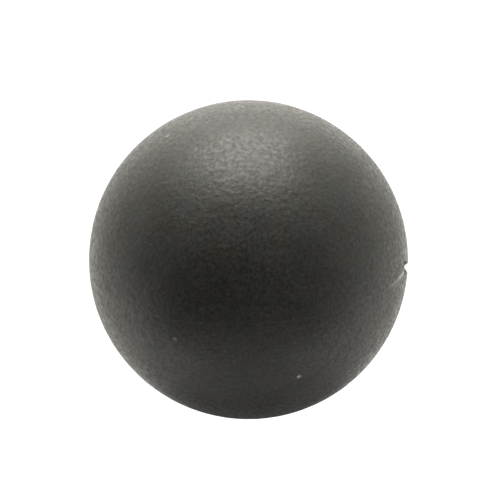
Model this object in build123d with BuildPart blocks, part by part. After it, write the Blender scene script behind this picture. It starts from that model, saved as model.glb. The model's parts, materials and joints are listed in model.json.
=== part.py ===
from build123d import *
import math
import os

# Friction ball for turning the screwed backs of watch cases, in millimetres.
# It is a hollow rubber ball: two moulded half shells bonded rim to rim, with a self-sealing
# needle valve in the lower one. The origin is the ball's centre, the bonded seam lies in XY,
# +Z is the plain pole that is pressed on the watch and -Z is the valve.

# Ball
BALL_D = 65.0
WALL = 6.5
BALL_R = BALL_D / 2
CAVITY_R = BALL_R - WALL

# Bonded seam: a tongue on the lower rim sits in a groove in the upper one, in a film of cement.
FILM = 0.14
LIP_CHAMFER = 0.05
FILM_RECESS = 0.03
BEAD_R = 0.5
TONGUE_W = 2.4
TONGUE_H = 1.5
TONGUE_DRAFT = 8.0
TONGUE_ROUND = 0.3
TONGUE_MID_R = (BALL_R + CAVITY_R) / 2

# Needle valve at the lower pole
BOSS_R = 7.0
BOSS_TOP_Z = -22.5
BOSS_FILLET = 1.2
BOSS_EDGE = 0.8
PLUG_R = 4.0
PLUG_L = 5.5
NEEDLE_R = 1.1
DIMPLE_R = 3.0
DIMPLE_DEPTH = 0.6
DIMPLE_EDGE = 0.35
PATCH_R = 5.9
PATCH_T = 1.4
PATCH_EDGE_T = 0.5

# Nick torn out of the ball: a cone laid in its skin, with its base in front, where it crosses
# the seam, and its tip behind and lower. The place and the slope are those of its middle.
NICK_BEARING = 84.0
NICK_Z = -1.9
NICK_SLOPE = 21.0
NICK_L = 12.6
NICK_R = 1.15
NICK_SINK = 0.26

# The film starts inside its bead and stops just short of the ball's surface.
FILM_R = BALL_R - FILM_RECESS
FILM_W = FILM_R - CAVITY_R + BEAD_R / 2
POCKET_FLOOR_Z = BOSS_TOP_Z - PLUG_L
DIMPLE_FLOOR_Z = -(BALL_R - DIMPLE_DEPTH)
# Radius of the dimple's bowl, from its depth and its mouth on the ball's surface.
MOUTH_Z = -math.sqrt(BALL_R**2 - DIMPLE_R**2)
BOWL_SAG = DIMPLE_FLOOR_Z - MOUTH_Z
BOWL_R = (DIMPLE_R**2 + BOWL_SAG**2) / (2 * BOWL_SAG)

os.makedirs("parts", exist_ok=True)


def tongue_section(grow):
    """Half section of the tongue, radius along X and height along Y, larger all round by grow."""
    half_base = TONGUE_W / 2
    half_top = half_base - TONGUE_H * math.tan(math.radians(TONGUE_DRAFT))
    base_z = -FILM / 2
    with BuildSketch() as section:
        with BuildLine():
            Polyline(
                (TONGUE_MID_R - half_base, base_z),
                (TONGUE_MID_R + half_base, base_z),
                (TONGUE_MID_R + half_top, base_z + TONGUE_H),
                (TONGUE_MID_R - half_top, base_z + TONGUE_H),
                close=True,
            )
        make_face()
        fillet(section.vertices().group_by(Axis.Y)[-1], TONGUE_ROUND)
        if grow > 0:
            offset(amount=grow)
            with Locations((0, base_z)):
                Rectangle(BALL_R, BALL_R, align=(Align.MIN, Align.MIN), mode=Mode.INTERSECT)
    return section.sketch_local


def nick_plane():
    """Plane through the nick's axis, with X from its base to its tip and the origin in its middle."""
    bearing = math.radians(NICK_BEARING)
    lift = math.asin(NICK_Z / BALL_R)
    slope = math.radians(NICK_SLOPE)
    level = Vector(math.cos(bearing), math.sin(bearing), 0)
    sideways = Vector(math.sin(bearing), -math.cos(bearing), 0)
    outward = sideways * math.cos(lift) + Vector(0, 0, math.sin(lift))
    up = outward.cross(level)
    axis = level * math.cos(slope) - up * math.sin(slope)
    return Plane(origin=outward * (BALL_R - NICK_SINK), x_dir=axis, z_dir=outward.cross(axis))


TONGUE = tongue_section(0)
GROOVE = tongue_section(FILM)

with BuildPart() as nick:
    with BuildSketch(nick_plane()):
        with BuildLine():
            Polyline((-NICK_L / 2, 0), (-NICK_L / 2, NICK_R), (NICK_L / 2, 0), close=True)
        make_face()
    revolve(axis=Axis(nick_plane().origin, nick_plane().x_dir))

# Plain half shell, with the groove in its rim
with BuildPart() as upper_shell:
    with BuildSketch(Plane.XZ) as upper_profile:
        Circle(BALL_R)
        Circle(CAVITY_R, mode=Mode.SUBTRACT)
        with Locations((0, FILM / 2)):
            Rectangle(BALL_R, BALL_R, align=(Align.MIN, Align.MIN), mode=Mode.INTERSECT)
        chamfer(upper_profile.vertices().sort_by(Axis.X)[-1], LIP_CHAMFER)
        add(GROOVE, mode=Mode.SUBTRACT)
    revolve(axis=Axis.Z)
    add(nick.part, mode=Mode.SUBTRACT)

upper_shell.part.label = "upper_shell"
export_step(upper_shell.part, "parts/upper_shell.step")

# Valve half shell: tongue on its rim, boss inside its pole, plug pocket and needle hole
with BuildPart() as lower_shell:
    with BuildSketch(Plane.XZ) as lower_profile:
        Circle(BALL_R)
        Circle(CAVITY_R, mode=Mode.SUBTRACT)
        with Locations((0, -FILM / 2)):
            Rectangle(BALL_R, BALL_R, align=(Align.MIN, Align.MAX), mode=Mode.INTERSECT)
        chamfer(lower_profile.vertices().sort_by(Axis.X)[-1], LIP_CHAMFER)
        add(TONGUE)
        with Locations((0, BOSS_TOP_Z)):
            Rectangle(BOSS_R, PLUG_L, align=(Align.MIN, Align.MAX))
        boss_root = lower_profile.vertices().sort_by_distance((BOSS_R, -CAVITY_R))[0]
        fillet(boss_root, BOSS_FILLET)
        boss_edge = lower_profile.vertices().sort_by_distance((BOSS_R, BOSS_TOP_Z))[0]
        fillet(boss_edge, BOSS_EDGE)
        with Locations((0, BOSS_TOP_Z)):
            Rectangle(PLUG_R, PLUG_L, align=(Align.MIN, Align.MAX), mode=Mode.SUBTRACT)
        with Locations((0, POCKET_FLOOR_Z)):
            Rectangle(NEEDLE_R, WALL, align=(Align.MIN, Align.MAX), mode=Mode.SUBTRACT)
        with Locations((0, DIMPLE_FLOOR_Z - BOWL_R)):
            Circle(BOWL_R, mode=Mode.SUBTRACT)
        dimple_edge = lower_profile.vertices().sort_by_distance((DIMPLE_R, MOUTH_Z))[0]
        fillet(dimple_edge, DIMPLE_EDGE)
    revolve(axis=Axis.Z)
    add(nick.part, mode=Mode.SUBTRACT)

lower_shell.part.label = "lower_shell"
export_step(lower_shell.part, "parts/lower_shell.step")

# Cured cement: the film between the rims, round the tongue, with its bead inside the ball
with BuildPart() as rim_cement:
    with BuildSketch(Plane.XZ):
        with Locations((CAVITY_R, 0)):
            Circle(BEAD_R)
        Circle(CAVITY_R, mode=Mode.INTERSECT)
        with Locations((FILM_R, 0)):
            Rectangle(FILM_W, FILM, align=(Align.MAX, Align.CENTER))
        add(GROOVE)
        add(TONGUE, mode=Mode.SUBTRACT)
    revolve(axis=Axis.Z)
    add(nick.part, mode=Mode.SUBTRACT)

rim_cement.part.label = "rim_cement"
export_step(rim_cement.part, "parts/rim_cement.step")

# Soft plug that closes round the needle's track
with BuildPart() as sealing_plug:
    with BuildSketch(Plane.XY.offset(BOSS_TOP_Z)):
        Circle(PLUG_R)
    extrude(amount=-PLUG_L)

sealing_plug.part.label = "sealing_plug"
export_step(sealing_plug.part, "parts/sealing_plug.step")

# Domed patch cured over the boss, which keeps the plug in its pocket
with BuildPart() as plug_patch:
    with BuildSketch(Plane.XZ):
        with BuildLine():
            Polyline(
                (0, BOSS_TOP_Z + PATCH_T),
                (0, BOSS_TOP_Z),
                (PATCH_R, BOSS_TOP_Z),
                (PATCH_R, BOSS_TOP_Z + PATCH_EDGE_T),
            )
            TangentArc(
                (0, BOSS_TOP_Z + PATCH_T),
                (PATCH_R, BOSS_TOP_Z + PATCH_EDGE_T),
                tangent=(1, 0),
            )
        make_face()
    revolve(axis=Axis.Z)

plug_patch.part.label = "plug_patch"
export_step(plug_patch.part, "parts/plug_patch.step")
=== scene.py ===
import json
import math

import bpy
import numpy as np
from mathutils import Matrix, Vector, noise


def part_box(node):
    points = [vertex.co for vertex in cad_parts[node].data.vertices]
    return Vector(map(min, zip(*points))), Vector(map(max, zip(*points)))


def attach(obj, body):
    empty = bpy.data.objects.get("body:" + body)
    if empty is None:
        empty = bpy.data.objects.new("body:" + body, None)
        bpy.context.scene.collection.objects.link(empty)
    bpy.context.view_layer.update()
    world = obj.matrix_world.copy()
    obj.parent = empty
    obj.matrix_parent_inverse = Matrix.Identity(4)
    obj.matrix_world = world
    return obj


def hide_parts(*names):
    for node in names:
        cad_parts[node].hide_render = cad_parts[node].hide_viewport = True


# Case opening friction ball: two moulded rubber half shells bonded rim to rim, with a needle valve.
# Lengths are in millimetres in the row frame, and become metres only when a mesh is made.
# A bearing is in degrees round the ball, from -Y towards +X.
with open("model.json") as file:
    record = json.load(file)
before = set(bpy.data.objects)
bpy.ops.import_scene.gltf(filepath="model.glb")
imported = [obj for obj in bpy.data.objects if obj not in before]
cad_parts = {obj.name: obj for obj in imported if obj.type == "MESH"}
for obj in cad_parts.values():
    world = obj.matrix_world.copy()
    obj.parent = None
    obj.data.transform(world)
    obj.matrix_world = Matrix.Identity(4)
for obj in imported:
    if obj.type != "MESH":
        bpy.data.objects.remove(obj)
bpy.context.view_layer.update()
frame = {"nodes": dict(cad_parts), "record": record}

MM = 0.001


def box_mm(node):
    """Lowest and highest corners of a CAD node, in millimetres."""
    return [Vector(corner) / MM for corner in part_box(node)]


def mount_dims(name):
    """Dimensions that the record gives for one mount."""
    return next(m for m in frame["record"]["mounts"] if m["name"] == name)["dims"]


# Sizes read from the frame
UPPER_LOW, UPPER_HIGH = box_mm("upper_shell")
PLUG_LOW, PLUG_HIGH = box_mm("sealing_plug")
BALL_R = UPPER_HIGH.z
HALF_FILM = UPPER_LOW.z
GROOVE_TOP = box_mm("rim_cement")[1].z
TONGUE_TOP = box_mm("lower_shell")[1].z
NEEDLE_R = mount_dims("needle_bore")["r_mm"]

# Wall, and the tongue and groove that join the rims
WALL = 6.5
CAVITY_R = BALL_R - WALL
TONGUE_MID = (BALL_R + CAVITY_R) / 2
TONGUE_HALF_BASE = 1.2
TONGUE_HALF_TIP = 0.99
TONGUE_ROUND = 0.3
LIP = 0.035
UPPER_LAND = 0.6
LOWER_LAND = 0.7

# Cement: how far its edge stands out of the skin and spreads over it, and the bead inside the ball
CEMENT_PROUD = 0.012
CEMENT_SPREAD = 0.06
CEMENT_FALL = 0.035
CEMENT_ROOT = 1.2
BEAD_R = 0.5
BEAD_NECK = 0.1

# Valve boss inside the lower half
BOSS_R = 7.0
BOSS_ROUND = 0.8
BOSS_FOOT = 1.2
BOSS_STRAIGHT = 2.0
TOE_RISE = 0.25

# Dimple round the needle hole
DIMPLE_R = 3.0
DIMPLE_DEPTH = 0.6
DIMPLE_EDGE = 0.35
DIMPLE_MARGIN = 0.5
DIMPLE_STEPS = 12
DIMPLE_TRIM = 0.138
DIMPLE_SHARE = 0.98
DIMPLE_SKIN = 0.6
SHOULDER = 0.15
HOLE_LIP = 0.08
HOLE_EDGE = 0.06
HOLE_ROW = 1.0

# The tear: blunt in front, where it crosses the seam, and tapering backwards into the lower half.
# Front and tip are bearings, and slope is in degrees.
TEAR_FRONT = 72.6
TEAR_TIP = 95.0
TEAR_Z = 0.62
TEAR_SLOPE = -21.0
TEAR_HALF_WIDTH = 1.52
TEAR_TAPER = 0.45
TEAR_DEPTH = 1.2
TEAR_DEPTH_GAIN = 1.6
TEAR_DEPTH_TAPER = 0.6
TEAR_WALL = 0.22
TEAR_RAMP = 0.62
TEAR_CORNER = 0.5
TEAR_OVERRUN = 1.05

# Layers of unevenness: height, size of its features and seed
TEAR_EDGE_RELIEF = ((0.16, 0.55, 3.0), (0.08, 0.22, 4.0))
TEAR_FLOOR_RELIEF = ((0.25, 0.5, 6.0),)
SKIN_RELIEF = ((0.030, 17.0, 1.0), (0.016, 2.7, 2.0), (0.016, 1.25, 5.0))
SEAM_DIP = 0.006
SEAM_DIP_WIDTH = 0.26

# Pale residue in the tear, with a painted glint added in its front, which fades at a bearing
RESIDUE_BACK = 0.20
GLINT_EXTRA_IN_FRONT = 0.40
GLINT_END_BEARING = 86.0
GLINT_FADE = 8.0

# Pale powder along the seam with painted highlight on it: before the tear it grows over some degrees, and
# fades in the tear
STREAK_START = 54.5
STREAK_GROWTH = 17.5
STREAK_END = 84.0
STREAK_FADE = 8.0
STREAK_STRENGTH = 0.46
STREAK_POWER = 1.2
STREAK_WIDTH = 0.27
STREAK_WIDENING = 0.17
# Powder and painted highlight of the same kind at the left edge of the ball
LEFT_BEARING = 290.0
LEFT_REACH = 9.0
LEFT_STRENGTH = 0.09
# A faint trace of powder runs all round, with painted highlight added towards the left edge, and painted
# light lies on the skin below the streak
TRACE = 0.010
TRACE_LEFT = 0.012
TRACE_LEFT_POWER = 0.3
TRACE_WIDTH = 0.45
TRACE_CIRCLE = 8
PAINTED_LIGHT_BELOW = 0.06
PAINTED_LIGHT_BELOW_WIDTH = 1.6

# Mesh fineness
FULL_COLUMNS = 640
TEAR_COLUMNS = 144
TEAR_MIDDLE = 82.0
TEAR_REACH = 16.0
FINE_ROW = 0.09
COARSE_ROW = 0.42
FINE_BAND = 2.6
ROW_GROWTH = 1.12
BEARING_STEPS = 14400
INNER_COLUMNS = 160
BOSS_COLUMNS = 80
POLE_COLUMNS = 40
POLE_R = 6.0


# ---------------------------------------------------------------- meshes


def column_bearings():
    """Bearings of the full set of columns, closer together at the tear."""
    fine = np.linspace(0.0, 360.0, BEARING_STEPS + 1)
    away = np.abs((fine - TEAR_MIDDLE + 180.0) % 360.0 - 180.0)
    bump = np.where(away < TEAR_REACH, 0.5 + 0.5 * np.cos(np.pi * away / TEAR_REACH), 0.0) / TEAR_REACH
    density = (FULL_COLUMNS - TEAR_COLUMNS) / 360.0 + TEAR_COLUMNS * bump
    steps = (density[1:] + density[:-1]) / 2 * np.diff(fine)
    total = np.concatenate([[0.0], np.cumsum(steps)])
    return np.interp(np.arange(FULL_COLUMNS) * total[-1] / FULL_COLUMNS, total, fine)


BEARINGS = np.radians(column_bearings())


def ripple(point, size, seed):
    """Smooth noise from about -1 to 1 with features of that size."""
    return noise.noise(Vector(point) / size + Vector((seed, 2.3 * seed, 5.1 * seed)))


def relief(point, layers):
    """Sum of several layers of noise, each with a height, a size and a seed."""
    return sum(height * ripple(point, size, seed) for height, size, seed in layers)


def smooth(value):
    """0 below 0, 1 above 1 and an S curve between."""
    value = np.clip(value, 0.0, 1.0)
    return value * value * (3.0 - 2.0 * value)


def clamp(value):
    """0 below 0, 1 above 1 and the value itself between."""
    return min(max(value, 0.0), 1.0)


def bell(distance, width):
    """1 at no distance, falling off on both sides to about a third at that width."""
    return math.exp(-((distance / width) ** 2))


def tear_depth(bearing, z):
    """How deep the tear is at a point of the skin, given its bearing in degrees and its height."""
    left = (TEAR_TIP - bearing) / (TEAR_TIP - TEAR_FRONT)
    if not 0.0 < left < TEAR_OVERRUN or abs(z) > 6 * TEAR_HALF_WIDTH:
        return 0.0
    slope = math.radians(TEAR_SLOPE)
    along = math.radians(bearing - TEAR_FRONT) * BALL_R
    across = (z - TEAR_Z) * math.cos(slope) - along * math.sin(slope)
    place = (along, across, 0.0)
    ragged = relief(place, TEAR_EDGE_RELIEF)
    half = TEAR_HALF_WIDTH * left**TEAR_TAPER + ragged
    from_front = max(TEAR_CORNER - along - ragged, 0.0)
    upper = TEAR_CORNER - math.hypot(max(TEAR_CORNER - half + across, 0.0), from_front)
    lower = TEAR_CORNER - math.hypot(max(TEAR_CORNER - half - across, 0.0), from_front)
    inside = min(upper / TEAR_WALL, lower / TEAR_WALL, (half + across) / TEAR_RAMP)
    deepest = TEAR_DEPTH * min(1.0, TEAR_DEPTH_GAIN * left**TEAR_DEPTH_TAPER)
    return float(deepest * (1.0 + relief(place, TEAR_FLOOR_RELIEF)) * smooth(inside))


def tear_residue_and_glint(bearing):
    """How pale the torn rubber is: most in the front of the tear, where a painted glint is added to the pale
    residue, and little further back.
    """
    return RESIDUE_BACK + GLINT_EXTRA_IN_FRONT * float(smooth((GLINT_END_BEARING - bearing) / GLINT_FADE))


def seam_powder_and_glint(bearing, z):
    """How pale the skin is at a place beside the seam, from 0 to 1: dry cement powder, with painted
    highlight where the seam nears the ball's edges.
    """
    to_tear = clamp((bearing - STREAK_START) / STREAK_GROWTH) * clamp((STREAK_END - bearing) / STREAK_FADE)
    left_side = bell(bearing - LEFT_BEARING, LEFT_REACH)
    angle = math.radians(bearing)
    around = (TRACE_CIRCLE * math.cos(angle), TRACE_CIRCLE * math.sin(angle), 0.0)
    patchy = min(max(0.5 + 1.2 * ripple(around, 1.0, 7.0), 0.1), 1.0)
    # Painted highlight over the powder, where the seam nears the ball's edges
    streak = STREAK_STRENGTH * to_tear**STREAK_POWER + LEFT_STRENGTH * left_side
    streak *= bell(z, STREAK_WIDTH + STREAK_WIDENING * to_tear)
    trace = (TRACE + TRACE_LEFT * left_side**TRACE_LEFT_POWER) * patchy * bell(z, TRACE_WIDTH)
    # Painted light on the skin below the streak
    lit_below_streak = PAINTED_LIGHT_BELOW * to_tear * bell(z, PAINTED_LIGHT_BELOW_WIDTH) if z < 0.0 else 0.0
    return streak + trace + lit_below_streak


def skin_height(point):
    """Height of the real skin over the plain ball at a point of it."""
    return relief(point, SKIN_RELIEF) - SEAM_DIP * bell(point[2], SEAM_DIP_WIDTH)


def lathe(name, rings, closed):
    """Mesh turned from rings of (radius, height, columns, skin), listed so that the outside is on
    the left of the way down. skin is 1 where the ring is part of the weathered outer skin. A closed
    section ends where it starts, and any other ends in a pole at each end."""
    points, marks, starts = [], [], []
    for radius, z, columns, skin in rings:
        starts.append(len(points))
        if columns == 1:
            outwards = math.copysign(1.0, z)
            points.append((0.0, 0.0, z + skin * skin_height((0.0, 0.0, z)) * outwards))
            marks.append((0.0, 0.0))
            continue
        for bearing in BEARINGS[:: FULL_COLUMNS // columns]:
            point = Vector((radius * math.sin(bearing), -radius * math.cos(bearing), z))
            degrees = math.degrees(bearing)
            torn, powder_and_glint = 0.0, 0.0
            if skin:
                torn = tear_depth(degrees, z)
                powder_and_glint = skin * seam_powder_and_glint(degrees, z)
                point += point.normalized() * skin * (skin_height(point) - torn)
            points.append(tuple(point))
            # Marks for pale residue with painted glint in the tear, and for powder with painted highlight by
            # the seam
            marks.append((torn / TEAR_DEPTH * tear_residue_and_glint(degrees), powder_and_glint))
    faces = []
    spans = list(zip(range(len(rings)), range(1, len(rings))))
    if closed:
        spans.append((len(rings) - 1, 0))
    for above, below in spans:
        faces += bridge(starts[above], rings[above][2], starts[below], rings[below][2])
    mesh = bpy.data.meshes.new(name)
    mesh.from_pydata([tuple(c * MM for c in p) for p in points], [], faces)
    mesh.polygons.foreach_set("use_smooth", [True] * len(mesh.polygons))
    for column, label in enumerate(("tear", "powder_and_glint")):
        layer = mesh.attributes.new(label, "FLOAT", "POINT")
        layer.data.foreach_set("value", [mark[column] for mark in marks])
    mesh.update()
    piece = bpy.data.objects.new(name, mesh)
    bpy.context.scene.collection.objects.link(piece)
    return piece


def bridge(top, top_count, low, low_count):
    """Faces between two rings, given each ring's first vertex and its number of columns."""
    if top_count == low_count:
        nexts = [(i + 1) % top_count for i in range(top_count)]
        return [(top + i, low + i, low + n, top + n) for i, n in enumerate(nexts)]
    if top_count < low_count:
        return [face[::-1] for face in bridge(low, low_count, top, top_count)]
    if low_count == 1:
        return [(top + i, low, top + (i + 1) % top_count) for i in range(top_count)]
    share = top_count // low_count
    faces = []
    for i in range(low_count):
        here, after = low + i, low + (i + 1) % low_count
        fine = [top + (i * share + k) % top_count for k in range(share + 1)]
        middle = share // 2
        faces += [(fine[k], here, fine[k + 1]) for k in range(middle)]
        faces.append((fine[middle], here, after))
        faces += [(fine[k], after, fine[k + 1]) for k in range(middle, share)]
    return faces


def dome_rows(start):
    """Distances along the skin from the seam plane up to the pole, finest beside the seam."""
    rows, step = [start], FINE_ROW
    end = BALL_R * math.pi / 2
    while rows[-1] + 1.5 * step < end:
        rows.append(rows[-1] + step)
        if rows[-1] > FINE_BAND:
            step = min(step * ROW_GROWTH, COARSE_ROW)
    return rows + [end]


def columns_at(radius):
    """Number of columns for a ring: halved each time the ring is half as long as the last."""
    count = FULL_COLUMNS
    while count > 20 and radius < 0.53 * BALL_R * count / FULL_COLUMNS:
        count //= 2
    return count


def dome(side, stop=None):
    """Rings of the outer skin from the lip towards the pole, above the seam for side 1, below for -1.
    They end at the pole, or before the radius stop."""
    rings = []
    for distance in dome_rows(HALF_FILM + LIP):
        angle = distance / BALL_R
        radius, z = BALL_R * math.cos(angle), side * BALL_R * math.sin(angle)
        if stop is not None and radius < stop:
            break
        if radius < 0.1 * COARSE_ROW:
            rings.append((0.0, z, 1, 1.0))
        else:
            rings.append((radius, z, columns_at(radius), 1.0))
    return rings


def arc(centre, radius, start, end, steps):
    """Points of an arc in the section, as (radius, height), with both ends."""
    angles = [math.radians(start + (end - start) * i / steps) for i in range(steps + 1)]
    return [(centre[0] + radius * math.cos(a), centre[1] + radius * math.sin(a)) for a in angles]


def plain(points, columns):
    """Rings of smooth rubber or cement, away from the weathered skin."""
    return [(radius, z, columns, 0.0) for radius, z in points]


def lip(side):
    """Rings round the outer edge of a rim, from the skin to the land."""
    turned = arc((BALL_R - LIP, side * (HALF_FILM + LIP)), LIP, 0, -90 * side, 4)
    return [(radius, z, FULL_COLUMNS, 1.0) for radius, z in turned[1:]]


def make_upper_shell():
    """Plain half: skin, lip, rim with its groove, and the inside of the cavity."""
    base, tip = TONGUE_HALF_BASE + 2 * HALF_FILM, TONGUE_HALF_TIP + 2 * HALF_FILM
    corner_z = GROOVE_TOP - TONGUE_ROUND
    groove = [(TONGUE_MID + base, HALF_FILM)]
    groove += arc((TONGUE_MID + tip - TONGUE_ROUND, corner_z), TONGUE_ROUND, 0, 90, 4)
    groove += arc((TONGUE_MID - tip + TONGUE_ROUND, corner_z), TONGUE_ROUND, 90, 180, 4)
    groove += [(TONGUE_MID - base, HALF_FILM)]
    inside = arc((0, 0), CAVITY_R, 1, 89, 36)
    rings = dome(1)[::-1] + lip(1)
    rings += plain([(TONGUE_MID + base + UPPER_LAND, HALF_FILM)], FULL_COLUMNS)
    rings += plain(groove + [(CAVITY_R, HALF_FILM)], INNER_COLUMNS)
    rings += plain([p for p in inside if p[0] > POLE_R], INNER_COLUMNS)
    rings += plain([p for p in inside if p[0] <= POLE_R], POLE_COLUMNS)
    rings.append((0.0, CAVITY_R, 1, 0.0))
    return lathe("upper_shell_rubber", rings, closed=False)


def dimple_rings(columns):
    """Rings of the dimple, from its rounded edge down to the lip of the needle hole."""
    mouth_z = -math.sqrt(BALL_R**2 - DIMPLE_R**2)
    fall = (-(BALL_R - DIMPLE_DEPTH) - mouth_z + DIMPLE_TRIM) * DIMPLE_SHARE
    rings = []
    for step in range(DIMPLE_STEPS + 1):
        part = step / DIMPLE_STEPS
        radius = DIMPLE_R + DIMPLE_EDGE - (DIMPLE_R + DIMPLE_EDGE - NEEDLE_R - HOLE_LIP) * part
        skin_z = -math.sqrt(BALL_R**2 - radius**2)
        sunk = float(smooth((DIMPLE_R + SHOULDER - radius) / (DIMPLE_R - NEEDLE_R - DIMPLE_EDGE)))
        rings.append((radius, skin_z + sunk * fall, columns, DIMPLE_SKIN * (1 - part)))
    return rings


def valve_points():
    """Section of the needle hole and of the plug's pocket, from the dimple inwards."""
    hole = [-(BALL_R - DIMPLE_DEPTH) + HOLE_EDGE, -(BALL_R - DIMPLE_DEPTH) + HOLE_ROW, PLUG_LOW.z]
    return [(NEEDLE_R, z) for z in hole] + [(PLUG_HIGH.x, PLUG_LOW.z), (PLUG_HIGH.x, PLUG_HIGH.z)]


def make_lower_shell():
    """Valve half: skin, dimple, needle hole, plug pocket, boss, cavity and the rim with its tongue."""
    rings = dome(-1, stop=DIMPLE_R + DIMPLE_MARGIN)
    columns = rings[-1][2]
    rings += dimple_rings(columns) + plain(valve_points(), columns)
    rings += plain(arc((BOSS_R - BOSS_ROUND, PLUG_HIGH.z - BOSS_ROUND), BOSS_ROUND, 90, 0, 4), BOSS_COLUMNS)
    toe_z = -math.sqrt(CAVITY_R**2 - (BOSS_R + BOSS_FOOT / 2) ** 2) + TOE_RISE
    toe = (BOSS_R + BOSS_FOOT * math.sin(math.radians(30)), toe_z)
    rings += plain([(BOSS_R, -CAVITY_R + BOSS_STRAIGHT), toe], BOSS_COLUMNS)
    root = math.degrees(math.asin((BOSS_R + BOSS_FOOT) / CAVITY_R))
    rings += plain(arc((0, 0), CAVITY_R, -90 + root, -1, 32), INNER_COLUMNS)
    rings += plain([(CAVITY_R, -HALF_FILM), (TONGUE_MID - TONGUE_HALF_BASE, -HALF_FILM)], INNER_COLUMNS)
    corner_z = TONGUE_TOP - TONGUE_ROUND
    tongue = arc((TONGUE_MID - TONGUE_HALF_TIP + TONGUE_ROUND, corner_z), TONGUE_ROUND, 180, 90, 4)
    tongue += arc((TONGUE_MID + TONGUE_HALF_TIP - TONGUE_ROUND, corner_z), TONGUE_ROUND, 90, 0, 4)
    rings += plain(tongue + [(TONGUE_MID + TONGUE_HALF_BASE, -HALF_FILM)], INNER_COLUMNS)
    rings += plain([(TONGUE_MID + TONGUE_HALF_BASE + LOWER_LAND, -HALF_FILM)], FULL_COLUMNS)
    rings += lip(-1)[::-1]
    return lathe("lower_shell_rubber", rings, closed=True)


def make_cement():
    """Cured film between the rims, with an uneven edge in the seam and a bead inside the ball."""
    edge = BALL_R + CEMENT_PROUD
    half = HALF_FILM + CEMENT_SPREAD
    crown = [(edge - CEMENT_FALL, half), (edge - CEMENT_FALL / 4, half / 2), (edge, 0.0)]
    crown += [(edge - CEMENT_FALL / 4, -half / 2), (edge - CEMENT_FALL, -half)]
    below = [(TONGUE_MID + TONGUE_HALF_BASE, -HALF_FILM), (TONGUE_MID + TONGUE_HALF_TIP, TONGUE_TOP)]
    below += [(TONGUE_MID - TONGUE_HALF_TIP, TONGUE_TOP), (TONGUE_MID - TONGUE_HALF_BASE, -HALF_FILM)]
    below += [(CAVITY_R + BEAD_NECK, -HALF_FILM)]
    base, tip = TONGUE_HALF_BASE + 2 * HALF_FILM, TONGUE_HALF_TIP + 2 * HALF_FILM
    above = [(CAVITY_R + BEAD_NECK, HALF_FILM), (TONGUE_MID - base, HALF_FILM)]
    above += [(TONGUE_MID - tip, GROOVE_TOP), (TONGUE_MID + tip, GROOVE_TOP), (TONGUE_MID + base, HALF_FILM)]
    bead = arc((CAVITY_R, 0), BEAD_R, -100, -260, 8)
    rings = [(radius, z, FULL_COLUMNS, 1.0) for radius, z in crown]
    rings += plain([(edge - CEMENT_ROOT, -HALF_FILM)], FULL_COLUMNS)
    rings += plain(below + bead + above, INNER_COLUMNS)
    rings += plain([(edge - CEMENT_ROOT, HALF_FILM)], FULL_COLUMNS)
    return lathe("rim_cement_film", rings, closed=True)


# ---------------------------------------------------------------- materials


def add_node(tree, kind, inputs=(), **settings):
    """Adds a shader node. inputs maps a socket to a value, or to the output that feeds it."""
    made = tree.nodes.new("ShaderNode" + kind)
    for name, value in settings.items():
        setattr(made, name, value)
    for socket, value in dict(inputs).items():
        if isinstance(value, bpy.types.NodeSocket):
            tree.links.new(value, made.inputs[socket])
        else:
            made.inputs[socket].default_value = value
    return made


def new_material(name):
    """Empty node material, its tree and its Principled shader."""
    material = bpy.data.materials.new(name)
    material.use_nodes = True
    return material, material.node_tree, material.node_tree.nodes["Principled BSDF"]


def millimetres(tree):
    """Object coordinates in millimetres."""
    inputs = {0: add_node(tree, "TexCoord").outputs["Object"], "Scale": 1 / MM}
    return add_node(tree, "VectorMath", inputs, operation="SCALE").outputs[0]


def grain(tree, where, size, detail=2.0, roughness=0.5):
    """Noise with features of that size in millimetres, from 0 to 1."""
    inputs = {"Vector": where, "Scale": 1.0 / size, "Detail": detail, "Roughness": roughness}
    return add_node(tree, "TexNoise", inputs).outputs["Fac"]


def remap(tree, value, low, high, to_low=0.0, to_high=1.0):
    """Clamped linear map of value."""
    inputs = {"Value": value, "From Min": low, "From Max": high, "To Min": to_low, "To Max": to_high}
    return add_node(tree, "MapRange", inputs).outputs[0]


def math_node(tree, operation, first, second):
    """Result of one sum, such as ADD or MULTIPLY, on two values or outputs."""
    return add_node(tree, "Math", {0: first, 1: second}, operation=operation).outputs[0]


def distance(tree, where, point):
    """How far a place is from a fixed point, in millimetres."""
    return add_node(tree, "VectorMath", {0: where, 1: point}, operation="DISTANCE").outputs["Value"]


def add_bump(tree, shader, height, depth):
    """Bump of that depth in millimetres."""
    bump = add_node(tree, "Bump", {"Height": height, "Strength": 1.0, "Distance": depth * MM})
    tree.links.new(bump.outputs[0], shader.inputs["Normal"])


def blend_colour(tree, share, first, second, how="MIX"):
    """Mix of two colours, each a colour or an output."""
    inputs = {0: share, 6: first, 7: second}
    return add_node(tree, "Mix", inputs, data_type="RGBA", blend_type=how).outputs[2]


def on_ball(bearing, z):
    """Point of the plain ball at a bearing and a height."""
    radius = math.sqrt(BALL_R**2 - z**2)
    angle = math.radians(bearing)
    return Vector((radius * math.sin(angle), -radius * math.cos(angle), z))


# Pinholes of the moulding with pale release powder in them: bearing, height, radius, how pale
PINHOLES = (
    (17.4, -13.4, 0.52, 0.62),
    (-27.4, -4.1, 0.48, 0.22),
    (-76.2, 28.6, 0.50, 0.22),
    (-42.1, -6.4, 0.3, 0.06),
)

# Base colours
WHITE = (1.0, 1.0, 1.0, 1.0)
BLACK = (0.0, 0.0, 0.0, 1.0)
RUBBER_DARK = (0.0248, 0.0249, 0.0227, 1.0)
RUBBER_LIGHT = (0.0380, 0.0381, 0.0350, 1.0)
RUBBER_WARM = (1.09, 0.98, 0.94, 1.0)
RUBBER_COOL = (0.94, 1.02, 1.03, 1.0)
POWDER = (0.62, 0.61, 0.57, 1.0)
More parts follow.
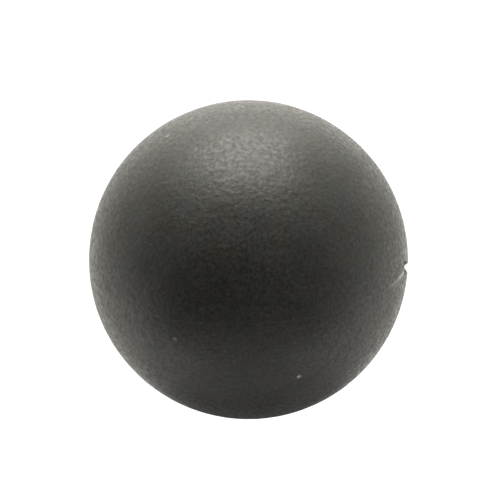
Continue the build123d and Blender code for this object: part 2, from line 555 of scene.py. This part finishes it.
# Pale white of residue and powder, which also carries painted highlight in the seam and tear
RESIDUE_AND_GLINT_WHITE = (0.92, 0.915, 0.90, 1.0)
CEMENT_DARK = (0.0310, 0.0307, 0.0279, 1.0)
CEMENT_LIGHT = (0.0458, 0.0453, 0.0417, 1.0)
PLUG_DARK = (0.035, 0.022, 0.015, 1.0)
PLUG_LIGHT = (0.06, 0.04, 0.028, 1.0)
PATCH_DARK = (0.015, 0.015, 0.016, 1.0)
PATCH_LIGHT = (0.03, 0.03, 0.031, 1.0)

# Sizes of the marks in the rubber, and depths of the bumps
BLOTCH_SIZE = 9.0
TINT_SIZE = 5.0
PIT_SIZE = 1.05
GLOSS_SIZE = 0.8
FLECK_SIZE = 0.55
CRUMB_SIZE = 0.35
PIT_DEPTH = 0.09
SOFT_DEPTH = 0.03


def add_powder_and_glint(tree, where, colour):
    """Covers the colour with pale dry cement and painted highlight where the mesh says that it is torn or
    powdery.
    """
    torn = add_node(tree, "Attribute", attribute_name="tear").outputs["Fac"]
    powder_and_glint = add_node(tree, "Attribute", attribute_name="powder_and_glint").outputs["Fac"]
    crumbs = remap(tree, grain(tree, where, CRUMB_SIZE), 0.35, 0.6, 0.55, 1.25)
    dust_and_glint = math_node(tree, "MULTIPLY", powder_and_glint, crumbs)
    patches = remap(tree, grain(tree, where, FLECK_SIZE, 3.0), 0.35, 0.65, -0.25, 0.12)
    residue_and_glint = remap(tree, math_node(tree, "ADD", torn, patches), 0.14, 0.6)
    share = math_node(tree, "MAXIMUM", dust_and_glint, residue_and_glint)
    return blend_colour(tree, share, colour, RESIDUE_AND_GLINT_WHITE)


def make_rubber():
    """Matt charcoal rubber: pitted and mottled, with powder in the pinholes, seam and tear, and painted
    highlight in the seam and tear.
    """
    material, tree, shader = new_material("shell_rubber")
    where = millimetres(tree)
    blotch = remap(tree, grain(tree, where, BLOTCH_SIZE, 3.0), 0.32, 0.68)
    warmth = remap(tree, grain(tree, where, TINT_SIZE), 0.35, 0.65)
    tint = blend_colour(tree, warmth, RUBBER_WARM, RUBBER_COOL)
    shade = remap(tree, grain(tree, where, FLECK_SIZE), 0.3, 0.7, 0.6, 1.4)
    colour = blend_colour(tree, blotch, RUBBER_DARK, RUBBER_LIGHT)
    colour = blend_colour(tree, 1.0, colour, tint, "MULTIPLY")
    colour = blend_colour(tree, 1.0, colour, shade, "MULTIPLY")

    holes = 0.0
    for bearing, z, radius, pale in PINHOLES:
        away = distance(tree, where, on_ball(bearing, z))
        holes = math_node(tree, "ADD", holes, remap(tree, away, 1.15 * radius, 0.5 * radius, 0.0, pale))
    colour = blend_colour(tree, holes, colour, POWDER)
    tree.links.new(add_powder_and_glint(tree, where, colour), shader.inputs["Base Color"])

    gloss = remap(tree, grain(tree, where, GLOSS_SIZE), 0.3, 0.7, 0.29, 0.58)
    tree.links.new(gloss, shader.inputs["Roughness"])
    shader.inputs["IOR"].default_value = 1.5
    pits = grain(tree, where, PIT_SIZE, 2.5, 0.55)
    height = math_node(tree, "SUBTRACT", pits, math_node(tree, "MULTIPLY", holes, 0.5))
    add_bump(tree, shader, height, PIT_DEPTH)
    return material


def make_cement_material():
    """Cured cement: brown-black and a little paler than the rubber, with powder and painted highlight where
    the seam has them.
    """
    material, tree, shader = new_material("cured_cement")
    where = millimetres(tree)
    mottle = grain(tree, where, 1.2, 3.0)
    colour = blend_colour(tree, remap(tree, mottle, 0.3, 0.7), CEMENT_DARK, CEMENT_LIGHT)
    tree.links.new(add_powder_and_glint(tree, where, colour), shader.inputs["Base Color"])
    tree.links.new(remap(tree, mottle, 0.2, 0.8, 0.38, 0.5), shader.inputs["Roughness"])
    add_bump(tree, shader, grain(tree, where, 0.3), SOFT_DEPTH)
    return material


def make_simple_rubber(name, dark, light, roughness, size):
    """Plain rubber for a piece inside the ball: mottled, with a soft bump."""
    material, tree, shader = new_material(name)
    where = millimetres(tree)
    mottle = grain(tree, where, size, 3.0)
    colour = blend_colour(tree, remap(tree, mottle, 0.3, 0.7), dark, light)
    tree.links.new(colour, shader.inputs["Base Color"])
    gloss = remap(tree, mottle, 0.2, 0.8, roughness - 0.06, roughness + 0.06)
    tree.links.new(gloss, shader.inputs["Roughness"])
    add_bump(tree, shader, grain(tree, where, size / 4), SOFT_DEPTH)
    return material


def give(piece, material):
    """Puts one material on a piece."""
    piece.data.materials.clear()
    piece.data.materials.append(material)


# ---------------------------------------------------------------- camera and studio

# Tilts in degrees, lens in millimetres, and the point that the camera aims at in its own picture plane
CAMERA_LIFT = 22.33
CAMERA_ROLL = 2.43
CAMERA_DISTANCE = 13.08 * BALL_R
CAMERA_LENS = 149.8
CAMERA_SENSOR = 36
AIM_RIGHT = 0.32
AIM_UP = 1.97


def make_camera():
    """Long lens, looking down on the seam, with the ball a little low in the frame."""
    lift, roll = math.radians(CAMERA_LIFT), math.radians(CAMERA_ROLL)
    towards = Vector((0, -math.cos(lift), math.sin(lift)))
    level_up = Vector((0, math.sin(lift), math.cos(lift)))
    right = Vector((math.cos(roll), 0, 0)) - level_up * math.sin(roll)
    up = Vector((math.sin(roll), 0, 0)) + level_up * math.cos(roll)
    place = towards * CAMERA_DISTANCE
    ahead = (right * AIM_RIGHT + up * AIM_UP - place).normalized()
    right = (right - ahead * right.dot(ahead)).normalized()
    turn = Matrix((right, right.cross(ahead), -ahead)).transposed().to_4x4()
    camera = bpy.data.objects.new("camera", bpy.data.cameras.new("camera"))
    camera.data.sensor_width = CAMERA_SENSOR
    camera.data.lens = CAMERA_LENS
    camera.data.clip_start = 0.01
    camera.matrix_world = Matrix.Translation(place * MM) @ turn
    bpy.context.scene.collection.objects.link(camera)
    bpy.context.scene.camera = camera


# Strength of what the camera sees of sheet and backdrop, which is burnt out
BURNT_OUT = 1.2

# Sheet: how far it reaches from the ball, its grey, which is painted shade, and the paler stretch behind the
# ball
SHEET_FRONT = 45.0
SHEET_BACK = 900.0
SHEET_SIDE = 800.0
SHADED_SHEET_GREY = 0.68
PAPER_PALE = 0.88
PALE_FROM = 45.0
PALE_FULL = 90.0
PALE_SIDE = 75.0
PALE_EDGE = 120.0

# Glow of the sheet under the ball: its reach from the point of contact, and how it grows backwards
GLOW_NEAR = 15.0
GLOW_FAR = 40.0
GLOW_GROWTH = (-9.0, 20.0)
GLOW_FRONT = 0.15
GLOW_BACK = 3.0


def make_floor():
    """Paper sheet under the ball: burnt out to the camera, and to everything else grey as painted shade,
    paler behind the ball, with a glow.
    """
    mesh = bpy.data.meshes.new("floor")
    front = [(-SHEET_SIDE, -SHEET_FRONT), (SHEET_SIDE, -SHEET_FRONT)]
    back = [(SHEET_SIDE, SHEET_BACK), (-SHEET_SIDE, SHEET_BACK)]
    corners = [(x * MM, y * MM, -BALL_R * MM) for x, y in front + back]
    mesh.from_pydata(corners, [], [(0, 1, 2, 3)])
    floor = bpy.data.objects.new("floor", mesh)
    bpy.context.scene.collection.objects.link(floor)

    material, tree, shader = new_material("white_sheet")
    where = millimetres(tree)
    place = add_node(tree, "SeparateXYZ", {0: where})
    backwards = place.outputs["Y"]
    sideways = math_node(tree, "ABSOLUTE", place.outputs["X"], 0.0)
    pale_back = remap(tree, backwards, PALE_FROM, PALE_FULL)
    pale_side = remap(tree, sideways, PALE_EDGE, PALE_SIDE)
    behind = math_node(tree, "MULTIPLY", pale_back, pale_side)
    # Grey as painted shade, except in the paler stretch behind the ball
    paper = remap(tree, behind, 0.0, 1.0, SHADED_SHEET_GREY, PAPER_PALE)
    tree.links.new(blend_colour(tree, paper, BLACK, WHITE), shader.inputs["Base Color"])
    near = remap(tree, distance(tree, where, (0, 0, -BALL_R)), GLOW_FAR, GLOW_NEAR)
    growth = remap(tree, backwards, *GLOW_GROWTH, GLOW_FRONT, GLOW_BACK)
    tree.links.new(math_node(tree, "MULTIPLY", near, growth), shader.inputs["Emission Strength"])
    shader.inputs["Emission Color"].default_value = WHITE
    shader.inputs["Roughness"].default_value = 0.8
    shader.inputs["Specular IOR Level"].default_value = 0.2

    white = add_node(tree, "Emission", {"Color": WHITE, "Strength": BURNT_OUT})
    seen = add_node(tree, "LightPath").outputs["Is Camera Ray"]
    both = add_node(tree, "MixShader", {0: seen, 1: shader.outputs[0], 2: white.outputs[0]})
    tree.links.new(both.outputs[0], tree.nodes["Material Output"].inputs[0])
    give(floor, material)


LIGHT_TINT = (1.0, 0.97, 0.90)

# Light of the room: the side it comes from, how tightly it is gathered there, and its strength
ROOM_LIGHT = (
    ((0, 1, 0), 1, 0.9),
    ((0, 1, 0), 4, 0.7),
    ((0, 0.85, 0.527), 10, 0.5),
    ((1, 0, 0), 3, 0.25),
)


def make_world():
    """Room that is lightest behind the ball and dark in front, and plain white to the camera."""
    world = bpy.data.worlds.new("studio")
    bpy.context.scene.world = world
    world.use_nodes = True
    tree = world.node_tree
    background = tree.nodes["Background"]
    direction = add_node(tree, "TexCoord").outputs["Generated"]
    total = 0.0
    for side, gathered, strength in ROOM_LIGHT:
        facing = add_node(tree, "VectorMath", {0: direction, 1: side}, operation="DOT_PRODUCT")
        share = math_node(tree, "POWER", remap(tree, facing.outputs["Value"], -1.0, 1.0), gathered)
        total = math_node(tree, "ADD", total, math_node(tree, "MULTIPLY", share, strength))
    seen = add_node(tree, "LightPath").outputs["Is Camera Ray"]
    strength = add_node(tree, "Mix", {0: seen, 2: total, 3: BURNT_OUT}, data_type="FLOAT").outputs[0]
    tree.links.new(strength, background.inputs["Strength"])
    tint = blend_colour(tree, seen, (*LIGHT_TINT, 1.0), WHITE)
    tree.links.new(tint, background.inputs["Color"])


# Softboxes: the direction of each from the ball, its distance, its width and depth, and its radiance
SOFTBOXES = {
    "overhead_softbox": ((0.0, 0.139, 0.990), 800.0, (700.0, 700.0), 5.5),
    "rear_softbox": ((0.0, 0.530, 0.848), 800.0, (1000.0, 1000.0), 0.7),
    "left_softbox": ((-0.604, 0.252, 0.756), 800.0, (400.0, 400.0), 0.5),
}
# White card on the table in front of the ball
CARD_PLACE = (0.0, -73.0, -32.4)
CARD_SIZE = (76.0, 54.0)
CARD_RADIANCE = 0.4


def make_softbox(name, place, towards, size, radiance):
    """Even rectangular light at a place, facing in the direction towards."""
    light = bpy.data.lights.new(name, "AREA")
    light.shape = "RECTANGLE"
    light.size, light.size_y = size[0] * MM, size[1] * MM
    light.energy = math.pi * light.size * light.size_y * radiance
    light.color = LIGHT_TINT
    lamp = bpy.data.objects.new(name, light)
    bpy.context.scene.collection.objects.link(lamp)
    lamp.location = Vector(place) * MM
    lamp.rotation_euler = Vector(towards).to_track_quat("-Z", "Y").to_euler()


# ---------------------------------------------------------------- the ball

make_camera()

rubber = make_rubber()
cement = make_cement_material()
plug_rubber = make_simple_rubber("plug_rubber", PLUG_DARK, PLUG_LIGHT, 0.38, 2.0)
patch_rubber = make_simple_rubber("patch_rubber", PATCH_DARK, PATCH_LIGHT, 0.55, 2.5)

upper = make_upper_shell()
lower = make_lower_shell()
film = make_cement()
for piece, node, material, slot in (
    (upper, "upper_shell", rubber, "shell_rubber"),
    (lower, "lower_shell", rubber, "shell_rubber"),
    (film, "rim_cement", cement, "cured_cement"),
):
    give(piece, material)
    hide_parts(node)
    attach(piece, "root")
give(frame["nodes"]["sealing_plug"], plug_rubber)
give(frame["nodes"]["plug_patch"], patch_rubber)

make_floor()
make_world()
for name, (side, away, size, radiance) in SOFTBOXES.items():
    place = Vector(side) * away
    make_softbox(name, place, -place, size, radiance)
make_softbox("front_card", CARD_PLACE, (0, 0, 1), CARD_SIZE, CARD_RADIANCE)
bpy.context.scene.view_settings.view_transform = "Standard"
